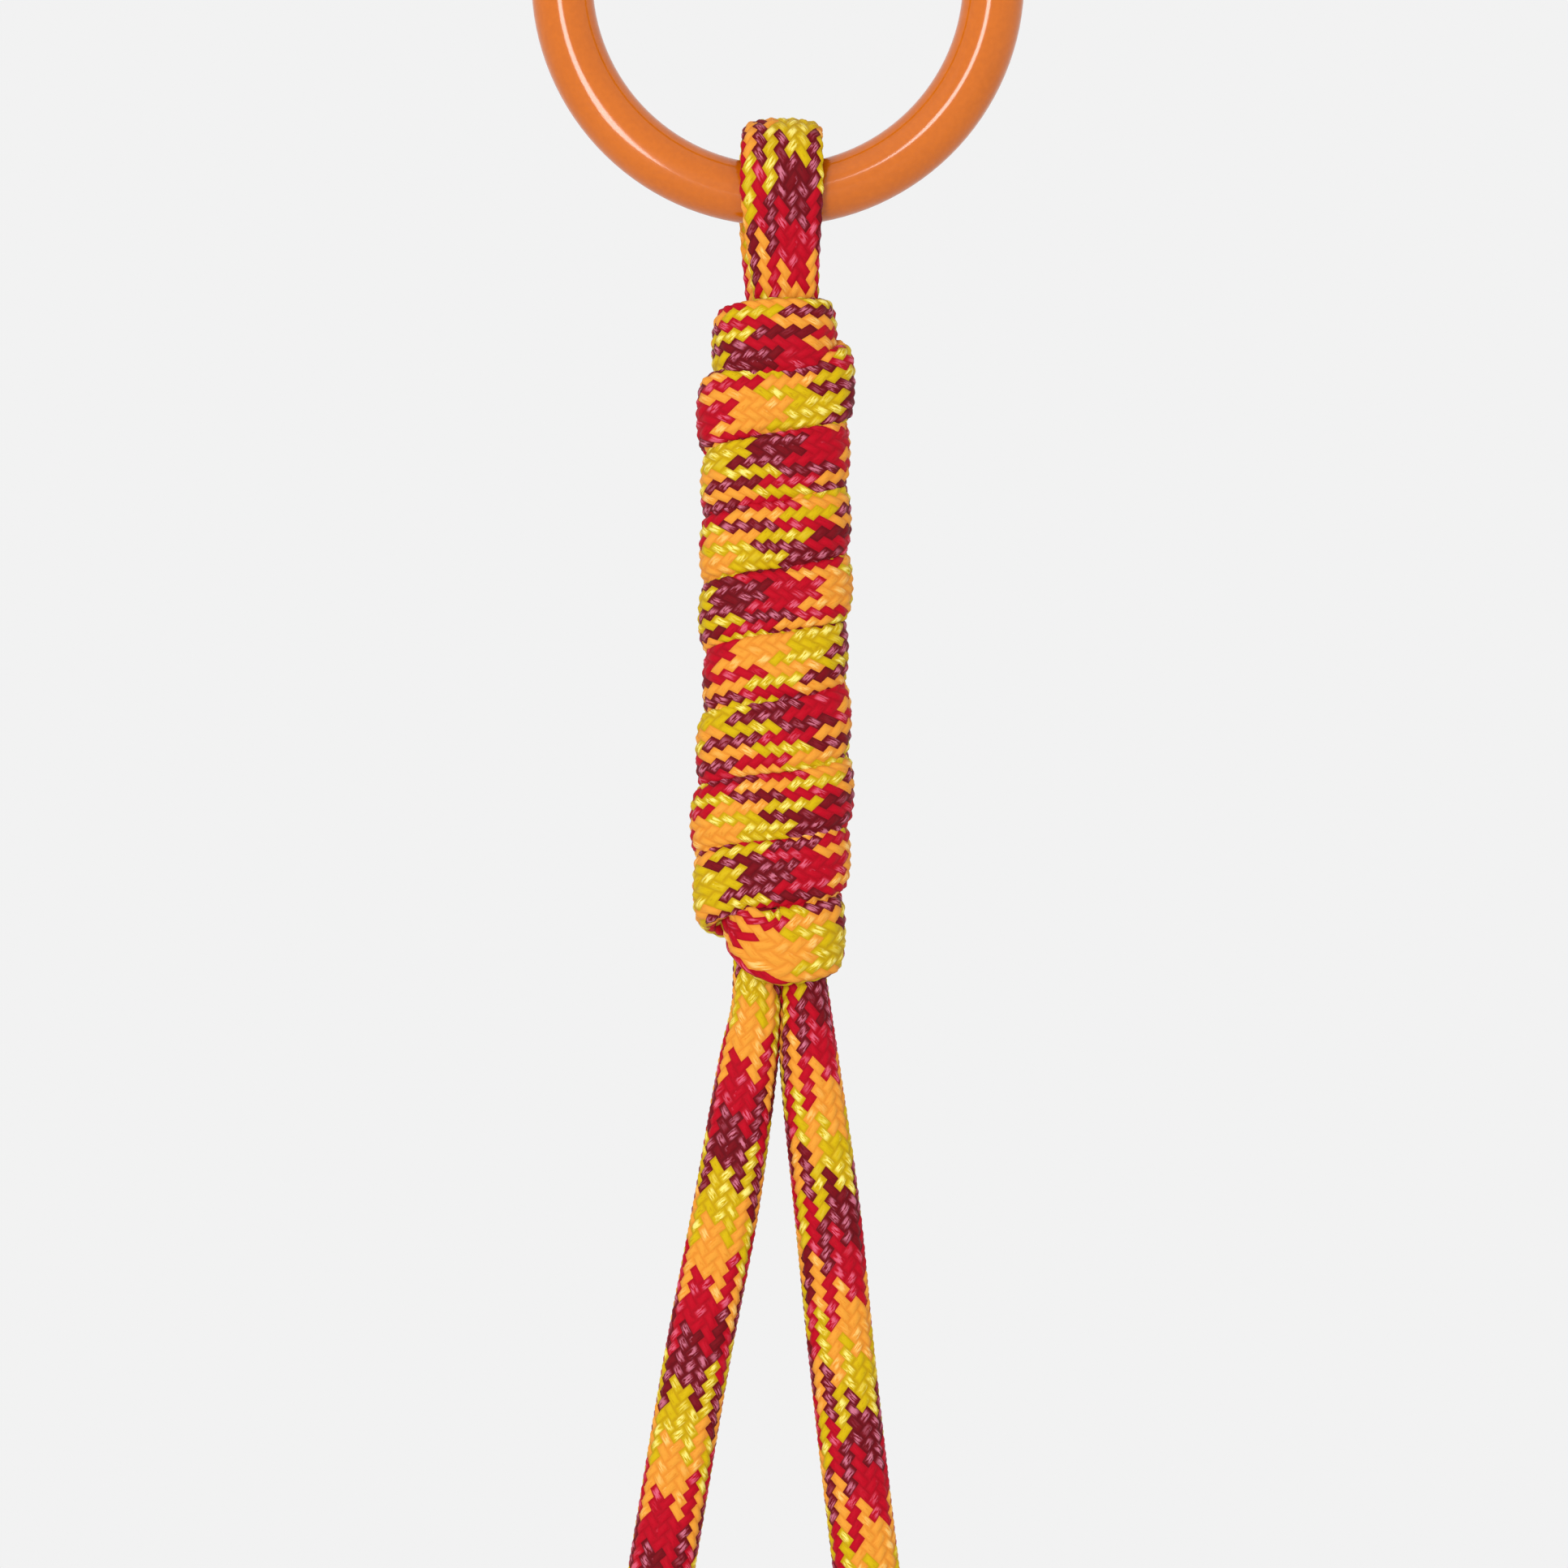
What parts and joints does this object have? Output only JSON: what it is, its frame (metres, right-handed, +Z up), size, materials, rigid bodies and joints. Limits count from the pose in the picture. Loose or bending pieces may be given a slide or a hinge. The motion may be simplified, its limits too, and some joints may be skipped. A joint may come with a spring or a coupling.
{
  "type": "ring and cord wrist strap",
  "caption": "Painted metal ring with a braided cord looped through it, bound by a long wrapped knot that opens into a hanging hand loop.",
  "frame": {"origin": "inner top of the ring, where a hook or finger holds it", "axes": "+Z up, the ring's plane is XZ, the cord hangs along -Z, and the front faces -Y"},
  "size_m": [0.0356, 0.0074, 0.2244],
  "materials": {
    "ring_paint": "gloss",
    "cord": "satin braid in orange, yellow, red and burgundy"
  },
  "bodies": {
    "ring": {"ring": "ring_paint"},
    "bight": {"loop_bight": "cord"},
    "knot": {"neck_front": "cord", "neck_back": "cord", "core_left": "cord", "core_right": "cord", "wrap_01": "cord", "wrap_02": "cord", "wrap_03": "cord", "wrap_04": "cord", "wrap_05": "cord", "wrap_06": "cord", "wrap_07": "cord", "wrap_08": "cord", "wrap_09": "cord", "wrap_10": "cord"},
    "hand_loop": {"wrist_loop": "cord"}
  },
  "joints": [
    {"name": "loop_slide", "type": "hinge", "parent": "ring", "child": "bight", "pos_m": [0, 0, -0.012], "axis": [0, 1, 0], "continuous": true},
    {"name": "knot_swing", "type": "hinge", "parent": "bight", "child": "knot", "pos_m": [0, 0, -0.026], "axis": [1, 0, 0], "range_deg": [-150, 150], "deforming": ["loop_bight"]},
    {"name": "strap_swing", "type": "hinge", "parent": "knot", "child": "hand_loop", "pos_m": [0, 0, -0.0788], "axis": [1, 0, 0], "range_deg": [-70, 70]}
  ]
}
